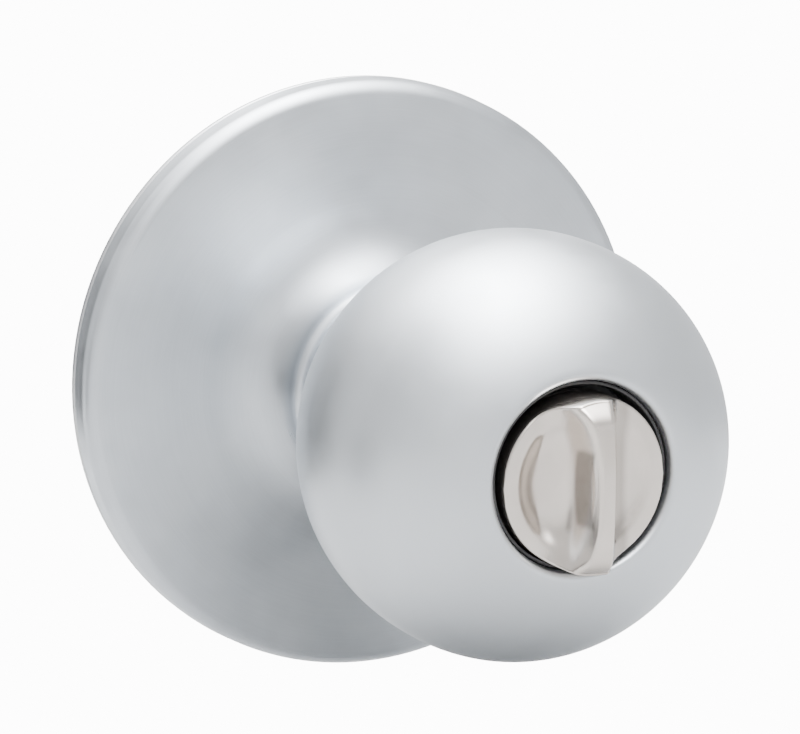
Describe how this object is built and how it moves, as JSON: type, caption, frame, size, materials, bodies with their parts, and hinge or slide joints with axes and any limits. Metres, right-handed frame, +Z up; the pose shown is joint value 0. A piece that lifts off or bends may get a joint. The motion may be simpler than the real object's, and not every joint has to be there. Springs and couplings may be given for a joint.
{
  "type": "privacy door knob inside half",
  "caption": "Inside half of a privacy door knob: round rose with a flared neck, ball knob on a short shank, and a turn button with a thumb fin in its face.",
  "frame": {"origin": "centre of the mounting plate's back face, on the door's surface and on the knob axis", "axes": "+Y from the knob into the door along the knob axis, -Y into the room, +Z up, +X to the right as seen from the room"},
  "size_m": [0.0794, 0.1102, 0.0794],
  "materials": {
    "satin_chrome": "satin chrome plate with a very fine brushed grain",
    "satin_nickel": "bright satin nickel, warmer and glossier than the chrome",
    "black_plastic": "moulded black nylon",
    "zinc_plate": "zinc plated pressed steel",
    "screw_zinc": "bright zinc plated screw",
    "cast_zinc": "die-cast zinc, as cast",
    "spring_steel": "oiled spring steel",
    "white_nylon": "natural nylon",
    "brass_washer": "stamped brass"
  },
  "bodies": {
    "root": {"rose": "satin_chrome", "mounting_plate": "zinc_plate", "spring_cage": "zinc_plate", "cage_rivet_1": "zinc_plate", "cage_rivet_2": "zinc_plate", "cage_rivet_3": "zinc_plate", "sleeve_bushing": "white_nylon", "return_spring": "spring_steel", "mounting_screw_left": "screw_zinc", "mounting_screw_right": "screw_zinc"},
    "knob": {"knob_shell": "satin_chrome", "knob_shank": "satin_chrome", "knob_core": "cast_zinc", "button_guide": "black_plastic", "spindle_sleeve": "zinc_plate", "spindle_driver": "cast_zinc", "spring_cam": "zinc_plate", "thrust_washer": "brass_washer", "retaining_ring": "spring_steel", "catch_guide": "white_nylon", "catch_spring": "spring_steel"},
    "button": {"turn_button": "satin_nickel", "lock_stem": "zinc_plate", "stem_clip": "spring_steel", "friction_washer": "spring_steel"},
    "catch": {"knob_catch": "zinc_plate"}
  },
  "joints": [
    {"name": "knob_turn", "type": "hinge", "parent": "root", "child": "knob", "pos_m": [0, 0, 0], "axis": [0, 1, 0], "range_deg": [-55, 55], "stiffness_Nm_per_rad": 0.25, "deforming": ["return_spring"]},
    {"name": "button_turn", "type": "hinge", "parent": "knob", "child": "button", "pos_m": [0, 0, -0.0004], "axis": [0, 1, 0], "range_deg": [0, 90]},
    {"name": "catch_press", "type": "slide", "parent": "knob", "child": "catch", "axis": [0, 0, 1], "range_m": [0, 0.0014], "stiffness_N_per_m": 600, "springref_m": -0.002, "deforming": ["catch_spring"]}
  ]
}
